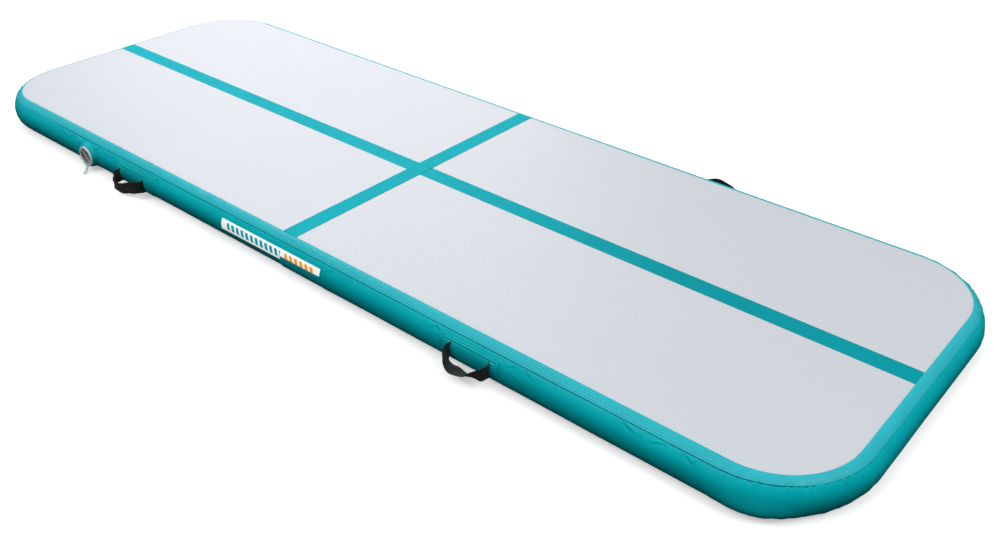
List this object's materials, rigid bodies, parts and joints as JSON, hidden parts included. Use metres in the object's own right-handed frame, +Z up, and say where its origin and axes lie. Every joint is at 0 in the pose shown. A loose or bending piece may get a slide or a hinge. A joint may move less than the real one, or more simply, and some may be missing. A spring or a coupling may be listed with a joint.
{
  "type": "inflatable gymnastics air track mat",
  "caption": "Flat inflatable tumbling mat with rounded air walls, a centre cross of stripes, swinging webbing carry handles and a capped push-in air valve.",
  "frame": {"origin": "centre of the underside, where the mat rests on the floor", "axes": "+X along the mat's length, away from the valve; +Y across it, away from the side with the valve; +Z up"},
  "size_m": [3, 1.0906, 0.101],
  "materials": {
    "deck_skin": "fine woven-look coated fabric, pale grey, satin",
    "wall_skin": "smooth coated fabric, dark teal, satin",
    "seam_tape": "welded tape with fine lengthwise lines, teal, satin",
    "inner_tape": "smooth inner tape",
    "thread": "bundles of fine polyester threads",
    "marking": "flat welded stripe, teal, satin",
    "label": "printed white label, satin",
    "patch": "embossed coated patch, dark teal, satin",
    "webbing": "flat woven webbing, black",
    "collar": "soft moulded seat, dark teal",
    "seal": "smooth black rubber",
    "valve_shell": "moulded plastic, light grey, slight gloss",
    "valve_inner": "moulded plastic, dark grey",
    "steel": "spring wire",
    "valve_cap": "moulded plastic, grey, slight gloss",
    "tether": "soft clear teal plastic"
  },
  "bodies": {
    "mat": {"bottom_deck": "deck_skin", "bottom_seam_tape": "seam_tape", "cap_tether": "tether", "cross_stripe": "marking", "drop_stitch_threads": "thread", "far_left_handle_base_patch": "patch", "far_left_handle_cover_patch": "patch", "far_left_handle_strap_roots": "webbing", "far_right_handle_base_patch": "patch", "far_right_handle_cover_patch": "patch", "far_right_handle_strap_roots": "webbing", "inner_bottom_tape": "inner_tape", "inner_top_tape": "inner_tape", "left_side_wall": "wall_skin", "length_stripe": "marking", "near_left_handle_base_patch": "patch", "near_left_handle_cover_patch": "patch", "near_left_handle_strap_roots": "webbing", "near_right_handle_base_patch": "patch", "near_right_handle_cover_patch": "patch", "near_right_handle_strap_roots": "webbing", "right_side_wall": "wall_skin", "side_label": "label", "top_deck": "deck_skin", "top_seam_tape": "seam_tape", "valve_body": "valve_shell", "valve_collar": "collar", "valve_gasket": "seal", "valve_nut": "valve_inner", "valve_spring": "steel", "wall_joint_straps": "inner_tape"},
    "near_right_handle_loop": {"near_right_handle_strap": "webbing"},
    "near_left_handle_loop": {"near_left_handle_strap": "webbing"},
    "far_right_handle_loop": {"far_right_handle_strap": "webbing"},
    "far_left_handle_loop": {"far_left_handle_strap": "webbing"},
    "valve_plunger": {"valve_stem": "valve_inner", "valve_diaphragm": "seal"},
    "cap_carrier": {"cap_swivel": "tether"},
    "turning_cap": {"valve_cap": "valve_cap", "cap_seal": "seal"}
  },
  "joints": [
    {"name": "near_right_handle_swing", "type": "hinge", "parent": "mat", "child": "near_right_handle_loop", "pos_m": [0.65, -0.506, 0.05], "axis": [-1, 0, 0], "range_deg": [0, 118], "deforming": ["near_right_handle_strap_roots"]},
    {"name": "near_left_handle_swing", "type": "hinge", "parent": "mat", "child": "near_left_handle_loop", "pos_m": [-0.65, -0.506, 0.05], "axis": [-1, 0, 0], "range_deg": [-18, 100], "deforming": ["near_left_handle_strap_roots"]},
    {"name": "far_right_handle_swing", "type": "hinge", "parent": "mat", "child": "far_right_handle_loop", "pos_m": [0.65, 0.506, 0.05], "axis": [1, 0, 0], "range_deg": [-46, 72], "deforming": ["far_right_handle_strap_roots"]},
    {"name": "far_left_handle_swing", "type": "hinge", "parent": "mat", "child": "far_left_handle_loop", "pos_m": [-0.65, 0.506, 0.05], "axis": [1, 0, 0], "range_deg": [-23, 95], "deforming": ["far_left_handle_strap_roots"]},
    {"name": "plunger_press", "type": "slide", "parent": "mat", "child": "valve_plunger", "axis": [0, 1, 0], "range_m": [0, 0.006], "stiffness_N_per_m": 600, "springref_m": -0.004, "deforming": ["valve_spring"]},
    {"name": "cap_pull", "type": "slide", "parent": "mat", "child": "cap_carrier", "axis": [0, -1, 0], "range_m": [0, 0.025], "deforming": ["cap_tether"]},
    {"name": "cap_turn", "type": "hinge", "parent": "cap_carrier", "child": "turning_cap", "pos_m": [-0.887, -0.5, 0.0475], "axis": [0, -1, 0], "range_deg": [0, 90]}
  ]
}
